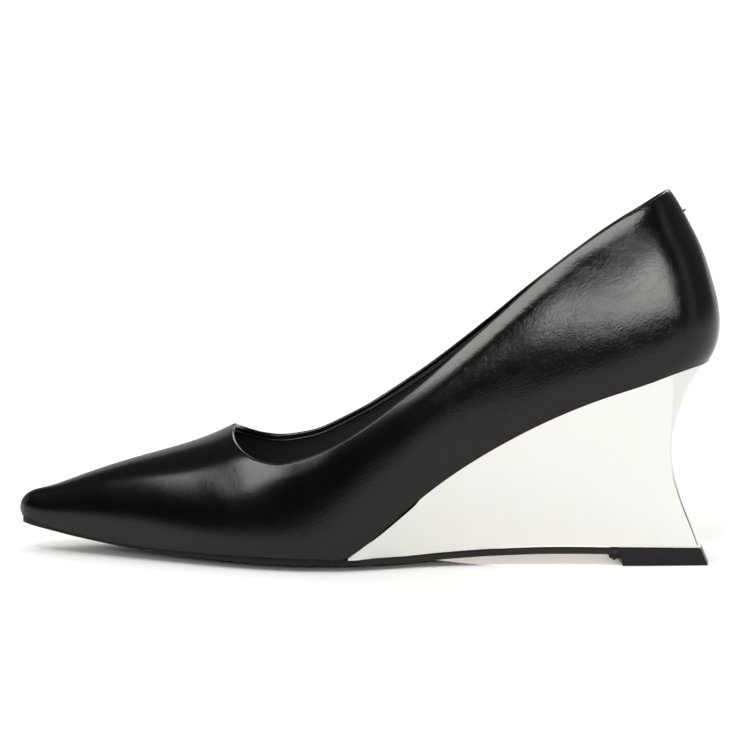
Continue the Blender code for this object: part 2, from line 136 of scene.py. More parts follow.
def merged_copy(node, name):
    mesh = frame["nodes"][node].data.copy()
    mesh.name = name
    mesh.materials.clear()
    piece = bpy.data.objects.new(name, mesh)
    bpy.context.scene.collection.objects.link(piece)
    take_up(piece)
    bpy.ops.mesh.select_all(action="SELECT")
    bpy.ops.mesh.customdata_custom_splitnormals_clear()
    bpy.ops.mesh.remove_doubles(threshold=JOIN_WITHIN)
    bpy.ops.mesh.tris_convert_to_quads(
        face_threshold=PAIR_UP_TO, shape_threshold=math.pi, topology_influence=2.0
    )
    bpy.ops.mesh.select_mode(type="EDGE")
    bpy.ops.mesh.select_all(action="DESELECT")
    bpy.ops.mesh.edges_select_sharp(sharpness=SHARP)
    bpy.ops.mesh.mark_seam(clear=False)
    put_down()
    quads = sum(len(face.vertices) == 4 for face in mesh.polygons)
    seams = sum(edge.use_seam for edge in mesh.edges)
    print(name, len(mesh.vertices), "points", quads, "quads of", len(mesh.polygons), "seam edges", seams)
    return piece


upper = merged_copy("upper", "leather_upper")
sock = merged_copy("insole", "sock")
wedge = merged_copy("wedge_heel", "plated_wedge")
outsole = merged_copy("outsole", "rubber_outsole")
lift = merged_copy("top_lift", "heel_top_lift")

# %% [markdown]
# The upper of a pump is one skin of leather, pulled over the last. Its rim is folded in at the collar,
# so there it is round, and at the sole it turns under. The collar's rim and the inside of the skin are
# picked out by clicking one of their faces and growing the selection up to the seams. The places of the
# collar are kept, because the lining, the stitches and the inward curl of the top edge all follow it.

# %% Find the islands of the upper's skin
COLLAR_BACK = (104 * MM, 0.0, 127.5 * MM)
BALL_INSIDE = (-25 * MM, -32 * MM, 20 * MM)


def island(nearest_to):
    """Selects the island of faces that holds the face nearest to a point, and gives its vertices."""
    mesh = bmesh.from_edit_mesh(bpy.context.object.data)
    mesh.faces.ensure_lookup_table()
    start = min(mesh.faces, key=lambda face: (face.calc_center_median() - Vector(nearest_to)).length)
    pick("FACE", lambda face: face == start)
    bpy.ops.mesh.select_linked(delimit={"SEAM"})
    mesh = bmesh.from_edit_mesh(bpy.context.object.data)
    return {vert.index for vert in mesh.verts if vert.select}


take_up(upper)
collar_rim = island(COLLAR_BACK)
inside = island(BALL_INSIDE)
put_down()
points = get_points(upper)
collar_pairs = []
for edge in upper.data.edges:
    a, b = edge.vertices
    if a in collar_rim and b in collar_rim and (a in inside) != (b in inside):
        collar_pairs.append((b, a) if a in inside else (a, b))
collar_outer = np.array([points[a] for a, b in collar_pairs])
collar_facing = np.array([points[a] - points[b] for a, b in collar_pairs])
collar_facing /= np.linalg.norm(collar_facing, axis=1, keepdims=True)
print("collar:", len(collar_rim), "points on the rim,", len(collar_pairs), "pairs,", len(inside), "inside")

# %% [markdown]
# The collar is a closed line in space. Sorting its points round the middle of the opening and laying a
# smooth curve through them gives closely spaced marks to measure from, as a tape laid along the edge.
# Each mark keeps its place and the way the collar's wall faces there.

# %% A tape along the collar
OPENING_MIDDLE = 30 * MM
TAPE_STEPS = 8


def smooth_loop(knots, steps):
    """Points on a smooth closed curve through the knots."""
    before, after, after2 = (np.roll(knots, shift, axis=0) for shift in (1, -1, -2))
    way = np.linspace(0, 1, steps, endpoint=False)[None, :, None]
    a, b, c, d = (rows[:, None, :] for rows in (before, knots, after, after2))
    curve = 2 * b + (c - a) * way + (2 * a - 5 * b + 4 * c - d) * way**2
    curve = (curve + (3 * b - a - 3 * c + d) * way**3) / 2
    return curve.reshape(-1, knots.shape[1])


order = np.argsort(np.arctan2(collar_outer[:, 1], collar_outer[:, 0] - OPENING_MIDDLE))
tape = smooth_loop(np.hstack([collar_outer, collar_facing])[order], TAPE_STEPS)
tape_tree = KDTree(len(tape))
for mark, row in enumerate(tape):
    tape_tree.insert(row[:3], mark)
tape_tree.balance()
print("collar line, mm:", round(sum(np.linalg.norm(np.diff(tape[:, :3], axis=0), axis=1)) / MM))

# %% [markdown]
# The lining is a second, thinner skin inside the first. It is copied from the upper's inside before the
# rims are rounded, and its top edge is slid down the wall, because at the collar the leather is folded
# over it. The narrow end inside the toe, which is out of sight, is cut away.

# %% Take the lining off the inside of the upper
LINING_DROP = 1.9 * MM
LINING_FRONT = -95 * MM
NEAR_COLLAR = 2.2 * MM

take_up(upper)
island(BALL_INSIDE)
bpy.ops.mesh.duplicate()
bpy.ops.mesh.separate(type="SELECTED")
put_down()
lining = [piece for piece in bpy.data.objects if piece.name.startswith("leather_upper.")][0]
lining.name = lining.data.name = "lining"
take_up(lining)
pick("FACE", lambda face: face.calc_center_median().x < LINING_FRONT)
bpy.ops.mesh.delete(type="FACE")
mesh = bmesh.from_edit_mesh(lining.data)
moves = []
for vert in mesh.verts:
    _, _, away = tape_tree.find(vert.co)
    if away < NEAR_COLLAR and vert.is_boundary:
        down = [edge.other_vert(vert) for edge in vert.link_edges if not edge.is_boundary]
        moves += [(vert, (other.co - vert.co).normalized() * LINING_DROP) for other in down[:1]]
for vert, move in moves:
    vert.co += move
bmesh.update_edit_mesh(lining.data)
put_down()
print("lining:", len(moves), "points slid down from the collar")

# %% [markdown]
# Rounding comes next. A bevel on the rim's two edges turns the square wall into a folded edge, and a
# small one at the sole lets the leather turn under. The seam at the back of the heel is a bevel too:
# it leaves three close lines, and the middle one is pushed in.

# %% Round the rims and press in the back seam
FOLD = 0.95 * MM
TUCK = 0.5 * MM
SEAM_HALF = 0.9 * MM
SEAM_DEPTH = 0.2 * MM
SEAM_FROM = 90 * MM
SEAM_NEAR = 0.25 * MM
FACING_BACK = 0.5
BALL_EDGE = (-22 * MM, -35.5 * MM, 4.6 * MM)


def on_back_line(vert):
    return vert.co.x > SEAM_FROM and abs(vert.co.y) < SEAM_NEAR and vert.normal.x > FACING_BACK


take_up(upper)
for place, size in ((COLLAR_BACK, FOLD), (BALL_EDGE, TUCK)):
    island(place)
    bpy.ops.mesh.region_to_loop()
    bpy.ops.mesh.bevel(offset=size, segments=3, profile=0.5, affect="EDGES", clamp_overlap=True)
found = pick("EDGE", lambda edge: all(on_back_line(vert) for vert in edge.verts))
bpy.ops.mesh.bevel(offset=SEAM_HALF, segments=2, profile=0.5, affect="EDGES", clamp_overlap=True)
pressed = pick("VERT", on_back_line)
bpy.ops.transform.shrink_fatten(value=-SEAM_DEPTH)
put_down()
print("back seam:", found, "edges,", pressed, "points pressed in")

# %% [markdown]
# Subdivision makes the skin smooth, but it also draws every curve in a little. The shoe has to keep its
# size, so the points of a soft skin are first moved out by as much as the subdivided skin falls short.
# A moulded block has narrow bevels beside wide faces, where that correction would overshoot, so a block
# is only subdivided: its flat walls lose nothing.

# %% Smooth a piece
def smooth(piece, levels, rounds=0):
    wanted = get_points(piece)
    modifier = piece.modifiers.new("smooth", "SUBSURF")
    modifier.levels = modifier.render_levels = levels
    for _ in range(rounds):
        shown = piece.evaluated_get(bpy.context.evaluated_depsgraph_get()).data
        short = wanted - np.array([vert.co for vert in shown.vertices[: len(wanted)]])
        set_points(piece, get_points(piece) + short)
    take_up(piece, "OBJECT")
    bpy.ops.object.modifier_apply(modifier=modifier.name)
    bpy.ops.object.shade_smooth()
    moved = abs(get_points(piece)[: len(wanted)] - wanted).max()
    print(piece.name, len(piece.data.polygons), "faces, points moved at most", round(moved / MM, 2), "mm")


# %% [markdown]
# The leather is subdivided twice, because its gloss shows every facet. The lining is a single skin so
# far. Solidify gives it its own thickness on the side of the foot, a hair's breadth off the leather.

# %% Smooth the leather and the lining
LINING_WALL = 0.3 * MM
LINING_OFFSET = 1.1  # at 1 it would lie on the leather, and a little more clears it

smooth(upper, 2, rounds=2)
take_up(lining, "OBJECT")
wall = lining.modifiers.new("thickness", "SOLIDIFY")
wall.thickness = LINING_WALL
wall.offset = LINING_OFFSET
bpy.ops.object.modifier_apply(modifier=wall.name)
smooth(lining, 1, rounds=2)

# %% [markdown]
# A last is straighter than a finished collar: once the shoe comes off it, the folded edge rolls in, and
# the tape inside the fold holds the leather out in a soft ridge below it. On the inner side of the foot
# the collar also stands a little higher. All three are placed by their distance from the collar's edge
# and by how far along the shoe they are. The photograph shows the ridge as a band of light under the
# edge with a dark wall below, and the inner side as a thin line beyond the near edge.

# %% Roll the collar inward
CURL_REACH = 6.0 * MM
CURL_X = np.array([-47, -40, -15, 10, 40, 75, 92, 106]) * MM
CURL_IN = np.array([0.1, 0.2, 0.4, 0.5, 0.7, 1.0, 0.8, 0.2]) * MM
RIDGE_AT, RIDGE_END = 6.5 * MM, 26.0 * MM
RIDGE_X = np.array([-30, -5, 10, 28, 46, 57, 70]) * MM
RIDGE_OUT = np.array([0.0, 0.3, 0.5, 0.75, 0.8, 0.6, 0.0]) * MM
INNER_REACH = 14.0 * MM
INNER_X = np.array([0, 16, 42, 64]) * MM
INNER_UP = np.array([0.0, 0.8, 0.9, 0.0]) * MM


def ease(way):
    """Goes smoothly from 0 to 1 as way does, and stays there."""
    way = np.clip(way, 0, 1)
    return way * way * (3 - 2 * way)


def roll_collar(piece):
    places = get_points(piece)
    moved = 0
    for number, place in enumerate(places):
        _, mark, away = tape_tree.find(place)
        if away < RIDGE_END:
            along = tape[mark, 0]
            roll = np.interp(along, CURL_X, CURL_IN) * max(0, 1 - away / CURL_REACH) ** 2
            ridge = ease(away / RIDGE_AT) * (1 - ease((away - RIDGE_AT) / (RIDGE_END - RIDGE_AT)))
            push = np.interp(along, RIDGE_X, RIDGE_OUT) * ridge - roll
            places[number] = place + push * tape[mark, 3:]
            if tape[mark, 1] > 0:
                places[number, 2] += np.interp(along, INNER_X, INNER_UP) * max(0, 1 - away / INNER_REACH)
            moved += 1
    set_points(piece, places)
    print(piece.name, "shaped under the collar at", moved, "points")


roll_collar(upper)
roll_collar(lining)

# %% [markdown]
# At the back a stiffener keeps the collar open, so there the leather stands out a little from the heel
# and its top rises to a small point. Points above the heel's round are moved away from an upright axis
# through the heel, and those near the top are raised. Both die away smoothly towards the sides.

# %% Flare the back of the collar
HEEL_AXIS = (86 * MM, 0.0)
BACK_LOW, BACK_HIGH, BACK_TOP = 94 * MM, 114 * MM, 126 * MM
BACK_OUT = 1.1 * MM
FLARE_RUN = 15 * MM
BACK_UP = 1.0 * MM
RISE_FROM, RISE_TO = 92 * MM, 106 * MM


def flare_back(piece):
    places = get_points(piece)
    spread = places[:, :2] - np.array(HEEL_AXIS)
    spread /= np.maximum(np.linalg.norm(spread, axis=1, keepdims=True), MM)
    flare = BACK_OUT * ease((places[:, 2] - BACK_LOW) / (BACK_HIGH - BACK_LOW))
    flare *= ease((places[:, 0] - HEEL_AXIS[0]) / FLARE_RUN)
    places[:, :2] += flare[:, None] * spread
    rise = BACK_UP * ease((places[:, 2] - BACK_HIGH) / (BACK_TOP - BACK_HIGH))
    places[:, 2] += rise * ease((places[:, 0] - RISE_FROM) / (RISE_TO - RISE_FROM))
    set_points(piece, places)
    print(piece.name, "flared at", int((flare > 0).sum()), "points of the back")


flare_back(upper)
flare_back(lining)

# %% [markdown]
# New calf leather is never quite even. Where the foot will bend, and where the quarter was pulled over
# the last, it lies in faint troughs and ridges that only the reflections show. Each one is placed one by
# one: a point on the shoe, the way it runs, its half length, its half width and its height, in
# millimetres. The skin is moved along its own normal, by a bell shape across and along the crease.

# %% Creases placed one by one
CREASES = (
    # point on the shoe, way it runs, half length, half width, height
    ((-36, -29, 28), (0.3, -0.4, -0.85), 9, 3.2, -0.035),
    ((-28, -31, 27), (0.2, -0.3, -0.9), 9, 2.8, -0.03),
    ((-45, -27, 27), (0.4, -0.5, -0.8), 8, 3.4, -0.035),
    ((-53, -22, 28), (0.4, -0.6, -0.7), 7, 3.2, 0.03),
    ((-19, -32, 27), (0.1, -0.2, -1.0), 8, 3.0, 0.03),
    ((46, -29, 66), (0.75, 0.0, 0.66), 12, 3.0, -0.03),
    ((54, -29, 71), (0.70, 0.0, 0.71), 10, 2.8, 0.03),
    ((52, -29, 78), (0.60, 0.0, 0.80), 9, 2.6, -0.03),
    ((62, -29, 82), (0.75, 0.0, 0.66), 12, 3.2, -0.03),
    ((97, -18, 92), (0.1, 0.0, 1.0), 18, 2.4, 0.05),
    ((-36, 29, 28), (0.3, 0.4, -0.85), 9, 3.2, -0.035),
    ((-28, 31, 27), (0.2, 0.3, -0.9), 9, 2.8, -0.03),
    ((-45, 26, 27), (0.4, 0.5, -0.8), 8, 3.4, -0.035),
    ((48, 27, 70), (0.72, 0.0, 0.69), 12, 3.0, -0.03),
    ((58, 27, 76), (0.70, 0.0, 0.71), 10, 2.8, 0.03),
    ((97, 18, 92), (0.1, 0.0, 1.0), 18, 2.4, 0.05),
)
# A line through the middle of the shoe: the leather's outer face is the one that looks away from it.
CORE_X = np.array([-125, -40, 20, 105]) * MM
CORE_Z = np.array([8, 16, 45, 90]) * MM


def crease_upper():
    places = get_points(upper)
    normals = np.array([vert.normal for vert in upper.data.vertices])
    core = np.stack([places[:, 0], 0 * places[:, 0], np.interp(places[:, 0], CORE_X, CORE_Z)], axis=1)
    outer = np.einsum("ij,ij->i", normals, places - core) > 0
    push = np.zeros(len(places))
    for point, way, half_length, half_width, height in CREASES:
        _, spot, _, _ = upper.closest_point_on_mesh(Vector(point) * MM)
        away = places - np.array(spot)
        away = away - np.einsum("ij,ij->i", away, normals)[:, None] * normals
        line = np.array(Vector(way).normalized())
        along = away @ line
        across = np.maximum(np.einsum("ij,ij->i", away, away) - along**2, 0)
        bell = np.exp(-((along / (half_length * MM)) ** 2) - across / (half_width * MM) ** 2)
        push += height * MM * bell
    set_points(upper, places + (push * outer)[:, None] * normals)
    print(len(CREASES), "creases, from", round(push.min() / MM, 2), "to", round(push.max() / MM, 2), "mm")


crease_upper()

# %% [markdown]
# The sock and the sole pieces are cut with crisp edges, which still catch a thin line of light. A narrow
# bevel on every sharp edge gives that line, and subdivision keeps the wide faces smooth.

# %% Round the edges of the sock and the sole pieces
SOCK_EDGE, SOLE_EDGE, LIFT_EDGE = 0.5 * MM, 0.3 * MM, 0.6 * MM


def round_edges(piece, size, levels, which=lambda edge: True):
    take_up(piece)
    pick("EDGE", lambda edge: edge.seam and which(edge))
    bpy.ops.mesh.bevel(offset=size, segments=2, profile=0.5, affect="EDGES", clamp_overlap=True)
    put_down()
    smooth(piece, levels)


round_edges(sock, SOCK_EDGE, 1)
round_edges(outsole, SOLE_EDGE, 1)
round_edges(lift, LIFT_EDGE, 2)

# %% [markdown]
# The top-lift is ground with a small slope at the back, so that its foot stands out past the wedge and
# its top tucks in under it. Its points are moved along the shoe by how low they lie.

# %% Slope the back of the top-lift
LIFT_BACK = 0.8 * MM
LIFT_IN = 0.4 * MM
SLOPE_FROM, SLOPE_TO = 95 * MM, 117 * MM

places = get_points(lift)
low = 1 - places[:, 2] / places[:, 2].max()
near_back = ease((places[:, 0] - SLOPE_FROM) / (SLOPE_TO - SLOPE_FROM))
places[:, 0] += (LIFT_BACK * low - LIFT_IN * (1 - low)) * near_back
set_points(lift, places)
print("top-lift: sloped at", int((near_back > 0).sum()), "points")

# %% [markdown]
# The wedge has two crisp corners at its back, which run up from the floor and melt into the round heel
# seat. A bevel would stop with a knot where the corner dies away, so these edges are creased instead:
# the sharper the corner, the more of it subdivision keeps. The edges of the bottom are creased all the
# way, because there the wedge sits square on the sole. Only the edge under the leather is bevelled.

# %% Crease the corners of the wedge
CORNERS = ((12, 0.3), (22, 0.5), (35, 0.75), (50, 0.93))  # degrees, and how much is kept
HEEL_FROM = 92 * MM
STEEP = 0.6
FACING_DOWN = -0.85
WEDGE_EDGE = 0.35 * MM


def stands(edge):
    """True for an edge that runs upwards, such as the back corners of the wedge."""
    rise = edge.verts[1].co - edge.verts[0].co
    return abs(rise.z) > STEEP * rise.length


def under(edge):
    """True for an edge of the bottom face, which sits on the outsole and the top-lift."""
    return edge.seam and any(face.normal.z < FACING_DOWN for face in edge.link_faces)


def back_corner(edge, angle):
    """True for an upright edge at the back of the heel that turns by more than the angle."""
    upright = edge.is_manifold and edge.verts[0].co.x > HEEL_FROM and stands(edge)
    return upright and edge.calc_face_angle() > math.radians(angle)


take_up(wedge)
for angle, keep in CORNERS:
    found = pick("EDGE", lambda edge: back_corner(edge, angle))
    bpy.ops.transform.edge_crease(value=-1)
    bpy.ops.transform.edge_crease(value=keep)
    print("corner edges over", angle, "degrees:", found)
pick("EDGE", under)
bpy.ops.transform.edge_crease(value=1)
put_down()
round_edges(wedge, WEDGE_EDGE, 2, which=lambda edge: not stands(edge) and not under(edge))

# %% [markdown]
# At the front the wedge runs out in a thin tip between the leather and the sole. The tip's wall is
# set upright and its lower edge drops a little past the edge of the sole, so that it stays in sight.
# How far a point moves depends on how low it lies on the wall and how near it is to the tip.

# %% Set the wall of the wedge's tip upright
TIP_FROM, TIP_TO = 8 * MM, -6 * MM
TIP_DROP = 0.5 * MM
TIP_OUT = 0.6
TIP_TOP_X = np.array([-5.9, 1.0, 8.0]) * MM
TIP_TOP_Z = np.array([4.9, 9.8, 15.0]) * MM
TIP_LOW_Z = 4.35 * MM
TIP_BAND, TIP_BLEND = 4 * MM, 2 * MM

places = get_points(wedge)
marks = np.arange(-6, 10) * MM
top = np.interp(places[:, 0], TIP_TOP_X, TIP_TOP_Z)
low = np.clip((top - places[:, 2]) / (top - TIP_LOW_Z), 0, 1)
low *= ease((TIP_FROM - places[:, 0]) / (TIP_FROM - TIP_TO))
for side in (-1, 1):
    out = side * places[:, 1]
    widest = [out[abs(places[:, 0] - mark) < MM].max() for mark in marks]
    inset = np.interp(places[:, 0], marks, widest) - out
    amount = low * ease((TIP_BAND - inset) / TIP_BLEND)
    places[:, 1] += side * TIP_OUT * amount * inset
    places[:, 2] -= TIP_DROP * amount
set_points(wedge, places)
print("tip of the wedge set upright at", int((low > 0).sum()), "points")

# %% [markdown]
# The underside of a dress sole carries a fine moulded tread under the ball of the foot. The photograph
# doesn't show it, so this one is plain: the faces in the middle of the forefoot are inset one by one and
# pushed in, which leaves a net of low ribs level with the sole.

# %% Tread under the ball of the foot
TREAD_FROM, TREAD_TO = -88 * MM, 8 * MM
TREAD_MARGIN = 4  # faces left plain round the tread
TREAD_RIB = 0.5 * MM
TREAD_DEPTH = 0.35 * MM
RIB_ANGLE = math.radians(35)


def in_tread(face):
    return face.normal.z < FACING_DOWN and TREAD_FROM < face.calc_center_median().x < TREAD_TO


take_up(outsole)
pick("FACE", in_tread)
for _ in range(TREAD_MARGIN):
    bpy.ops.mesh.select_less()
pads = sum(face.select for face in bmesh.from_edit_mesh(outsole.data).faces)
bpy.ops.mesh.inset(thickness=TREAD_RIB, depth=-TREAD_DEPTH, use_individual=True)
put_down()
take_up(outsole, "OBJECT")
bpy.ops.object.shade_smooth_by_angle(angle=RIB_ANGLE)
print("tread:", pads, "pads pressed in")

# %% [markdown]
# Two things run round the inside of the collar: the fold of the lining and a row of stitches. Both are
# measured from the tape. A place is found by going along the tape, in through the wall and down, and
# then to the nearest spot on the lining, so that what is laid there touches it.

# %% Find a place inside the collar
WALL = 2.2 * MM
LOOK_AHEAD = 0.6 * MM
round_tape = np.vstack([tape, tape[:1]])
reach = np.concatenate([[0], np.cumsum(np.linalg.norm(np.diff(round_tape[:, :3], axis=0), axis=1))])
lining_skin = BVHTree.FromObject(lining, bpy.context.evaluated_depsgraph_get())


def inside_collar(mark, drop):
    """The place on the lining this far along the tape and below it, the collar's run and the normal."""
    row = np.array([np.interp(mark, reach, round_tape[:, k]) for k in range(6)])
    ahead = np.array([np.interp(mark + LOOK_AHEAD, reach, round_tape[:, k]) for k in range(3)])
    run = Vector(ahead - row[:3]).normalized()
    facing = Vector(row[3:]).normalized()
    down = run.cross(facing).normalized()
    down = -down if down.z > 0 else down
    spot, normal, _, _ = lining_skin.find_nearest(Vector(row[:3]) - facing * WALL + down * drop)
    normal = -normal if normal.dot(facing) > 0 else normal
    return spot, (run - normal * run.dot(normal)).normalized(), normal


print("tape round the collar:", round(reach[-1] / MM), "mm")

# %% [markdown]
# The top edge of the lining is turned under and pressed. The fold shows as a thin raised line just below
# the collar. It is a closed curve through marks on the lining, given a round section and made a mesh.

# %% Fold at the top of the lining
FOLD_RADIUS = 0.33 * MM
FOLD_DOWN = 2.1 * MM
FOLD_MARKS = 140

line = bpy.data.curves.new("lining_fold", "CURVE")
line.dimensions = "3D"
line.bevel_depth = FOLD_RADIUS
line.bevel_resolution = 2
line.resolution_u = 3
spline = line.splines.new("NURBS")
spline.points.add(FOLD_MARKS - 1)
for point, mark in zip(spline.points, np.linspace(0, reach[-1], FOLD_MARKS, endpoint=False)):
    point.co = (*inside_collar(mark, FOLD_DOWN)[0], 1.0)
spline.order_u = 4
spline.use_cyclic_u = True
lining_fold = bpy.data.objects.new("lining_fold", line)
bpy.context.scene.collection.objects.link(lining_fold)
take_up(lining_fold, "OBJECT")
bpy.ops.object.convert(target="MESH")
bpy.ops.object.shade_smooth()
print("fold of the lining:", len(lining_fold.data.polygons), "faces")

# %% [markdown]
# One row of lock stitches holds the lining to the folded edge, all the way round inside the collar. A
# stitch shows as a short raised bead of thread. One is shaped from a small sphere, lying along X, and
# it has few faces because it is repeated over a hundred times.

# %% Shape one stitch
STITCH_SIZE = Vector((2.0, 0.42, 0.34)) * MM

bpy.ops.object.select_all(action="DESELECT")
bpy.ops.mesh.primitive_uv_sphere_add(segments=6, ring_count=5, radius=0.5)
stitch = bpy.context.object
stitch.name = "collar_stitches"
take_up(stitch)
bpy.ops.mesh.select_all(action="SELECT")
bpy.ops.transform.rotate(value=math.pi / 2, orient_axis="Y", center_override=(0, 0, 0))
bpy.ops.transform.resize(value=STITCH_SIZE)
put_down()
print("one stitch:", len(stitch.data.polygons), "faces")

# %% [markdown]
# Copies of the stitch are set along the tape. Each is turned to the run of the collar and laid on the
# lining under it.

# %% Lay the stitches round the collar
STITCH_PITCH = 2.4 * MM
STITCH_DOWN = 3.2 * MM

copies = []
for mark in np.arange(0, reach[-1] - STITCH_PITCH / 2, STITCH_PITCH):
    spot, run, normal = inside_collar(mark, STITCH_DOWN)
    turn = Matrix((run, normal.cross(run), normal)).transposed().to_4x4()
    copy = stitch.copy()
    copy.data = stitch.data.copy()
    copy.data.transform(Matrix.Translation(spot) @ turn)
    bpy.context.scene.collection.objects.link(copy)
    copies.append(copy)
bpy.data.objects.remove(stitch)
print("stitches:", len(copies), "round", round(reach[-1] / MM), "mm of collar")

# %% [markdown]
# At the top of the back seam a cut end of the same thread stands out of the leather. It is a small disc,
# extruded a few times with a little bend and taper, and it is joined to the stitches because it
# is the same thread.

# %% Thread end at the back seam
THREAD = 0.42 * MM
THREAD_HEIGHT = 121.0 * MM
BEHIND_HEEL = 200 * MM
THREAD_ROOT = Vector((0.4, 0.0, 0.0)) * MM
THREAD_STEPS = ((0.5, 0.0, 0.1), (0.45, -0.05, 0.25), (0.4, -0.1, 0.4))
TAPER = (0.9, 0.9, 0.9)

upper_skin = BVHTree.FromObject(upper, bpy.context.evaluated_depsgraph_get())
root, _, _, _ = upper_skin.ray_cast(Vector((BEHIND_HEEL, 0.0, THREAD_HEIGHT)), Vector((-1, 0, 0)))
bpy.ops.object.select_all(action="DESELECT")
bpy.ops.mesh.primitive_circle_add(
    vertices=8, radius=THREAD, fill_type="NGON", location=root - THREAD_ROOT, rotation=(0, math.pi / 2, 0)
)
thread_end = bpy.context.object
take_up(thread_end, "OBJECT")
bpy.ops.object.transform_apply(location=True, rotation=True, scale=True)
take_up(thread_end)
bpy.ops.mesh.select_all(action="SELECT")
for step in THREAD_STEPS:
    bpy.ops.mesh.extrude_region_move(TRANSFORM_OT_translate={"value": Vector(step) * MM})
    bpy.ops.transform.resize(value=TAPER)
bpy.ops.mesh.select_all(action="SELECT")
bpy.ops.mesh.normals_make_consistent(inside=False)
put_down()
for copy in copies + [thread_end]:
    copy.select_set(True)
bpy.context.view_layer.objects.active = copies[0]
bpy.ops.object.join()
stitches = bpy.context.object
stitches.name = stitches.data.name = "collar_stitches"
bpy.ops.object.shade_smooth()
print("stitches and thread end:", len(stitches.data.polygons), "faces")

# %% [markdown]
# Where the thin outsole runs out under the wedge it is cemented against the top-lift, and a little black
# cement has squeezed out there. It is a small sphere, flattened and roughened by a noise displacement,
# and it sits half inside the corner between the two pieces. A ray from the side finds the sole's edge.

# %% Cement bead at the top-lift
BEAD_SIZE = Vector((2.7, 1.7, 1.8)) * MM
BEAD_FRONT = 0.9 * MM
BEAD_IN = 1.0 * MM
BEAD_HEIGHT = 4.0 * MM
LUMP = 1.0 * MM
LUMP_HEIGHT = 1.5 * MM
BEFORE_BEAD, BESIDE_SOLE, SOLE_HEIGHT = 4 * MM, -200 * MM, 5.0 * MM

lift_low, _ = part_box("top_lift")
bead_x = lift_low[0] - BEAD_FRONT
ray_from = Vector((bead_x - BEFORE_BEAD, BESIDE_SOLE, SOLE_HEIGHT))
sole_skin = BVHTree.FromObject(outsole, bpy.context.evaluated_depsgraph_get())
edge, _, _, _ = sole_skin.ray_cast(ray_from, Vector((0, 1, 0)))
bpy.ops.object.select_all(action="DESELECT")
bpy.ops.mesh.primitive_ico_sphere_add(subdivisions=4, radius=1.0)
bead = bpy.context.object
bead.name = bead.data.name = "cement_bead"
take_up(bead)
bpy.ops.mesh.select_all(action="SELECT")
bpy.ops.transform.resize(value=BEAD_SIZE)
bpy.ops.transform.translate(value=(bead_x, edge.y + BEAD_IN, BEAD_HEIGHT))
put_down()
lumps = bpy.data.textures.new("cement_lumps", "CLOUDS")
lumps.noise_scale = LUMP
rough = bead.modifiers.new("lumps", "DISPLACE")
rough.texture = lumps
rough.texture_coords = "LOCAL"
rough.strength = LUMP_HEIGHT
take_up(bead, "OBJECT")
bpy.ops.object.modifier_apply(modifier=rough.name)
bpy.ops.object.shade_smooth()
print("cement bead at", in_mm((bead_x, edge.y, BEAD_HEIGHT)), "mm")

# %% [markdown]
# Materials are named for what they are. Colours are written as the sRGB hex values an eye would read
# off a swatch, and one function turns them into the linear values that light works in. A second small
# function adds a shader node with its settings and its links.

# %% Colour and node helpers
def linear(code):
    parts = [int(code[i : i + 2], 16) / 255 for i in (0, 2, 4)]
    return tuple(p / 12.92 if p <= 0.04045 else ((p + 0.055) / 1.055) ** 2.4 for p in parts) + (1.0,)


def add_node(tree, kind, settings=None, links=None):
    made = tree.nodes.new(kind)
    for name, value in (settings or {}).items():
        if hasattr(made, name):
            setattr(made, name, value)
        else:
            made.inputs[name].default_value = value
    for name, source in (links or {}).items():
        tree.links.new(source, made.inputs[name])
    return made


def new_material(name):
    """An empty node tree, and the Object coordinates that patterns read."""
    made = bpy.data.materials.new(name)
    made.use_nodes = True
    made.node_tree.nodes.clear()
    tree = made.node_tree
    return made, tree, add_node(tree, "ShaderNodeTexCoord").outputs["Object"]


# %% [markdown]
# Smooth calf leather, dyed black through and finished with a thin clear top coat. The coat gives
# a soft gloss, and the stretch lines under it break the edge of each reflection into a fine wrinkled
# grain that runs up towards the heel. The lines on such leather are about a third of a millimetre
# apart, too fine to show here, so they are drawn half a millimetre apart. The vamp was pulled tight over
# the last, so its lines are shallower than those of the quarter. The pores are drawn a few times as
# coarse as they are, and the gloss and the dye change slowly, in patches about a thumb's width across.

# %% Black calf leather
WRINKLE = 0.5 * MM
WRINKLE_STRETCH = 3.5
WRINKLE_DEPTH = 0.052 * MM
TIGHT_TO, SLACK_FROM = 5 * MM, 45 * MM
PORE = 0.8 * MM
PORE_DEPTH = 0.005 * MM
SWAY = 7 * MM
PATCH = 14 * MM

calf, tree, where = new_material("black_calf_leather")
sway = add_node(tree, "ShaderNodeTexNoise", {"Scale": 1 / SWAY, "Detail": 2.0}, {"Vector": where})
swayed = add_node(
    tree, "ShaderNodeMixRGB", {"blend_type": "ADD", "Fac": 0.005},
    {"Color1": where, "Color2": sway.outputs["Color"]},
)
# The lines run up and back at 45 degrees: the pattern is turned about Y and stretched along its own X.
along_lines = add_node(
    tree, "ShaderNodeMapping",
    {"vector_type": "TEXTURE", "Rotation": (0.0, -math.pi / 4, 0.0), "Scale": (WRINKLE_STRETCH, 1.0, 1.0)},
    {"Vector": swayed.outputs["Color"]},
)
wrinkle = add_node(
    tree, "ShaderNodeTexNoise", {"Scale": 1 / WRINKLE, "Detail": 2.0, "Roughness": 0.5, "Distortion": 0.4},
    {"Vector": along_lines.outputs["Vector"]},
)
place = add_node(tree, "ShaderNodeSeparateXYZ", links={"Vector": where})
slack = add_node(
    tree, "ShaderNodeMapRange",
    {"interpolation_type": "SMOOTHSTEP", "From Min": TIGHT_TO, "From Max": SLACK_FROM,
     "To Min": 0.55, "To Max": 1.0},
    {"Value": place.outputs["X"]},
)
height = add_node(
    tree, "ShaderNodeMath", {"operation": "MULTIPLY"},
    {0: wrinkle.outputs["Fac"], 1: slack.outputs["Result"]},
)
lined = add_node(
    tree, "ShaderNodeBump", {"Strength": 1.0, "Distance": WRINKLE_DEPTH}, {"Height": height.outputs["Value"]}
)
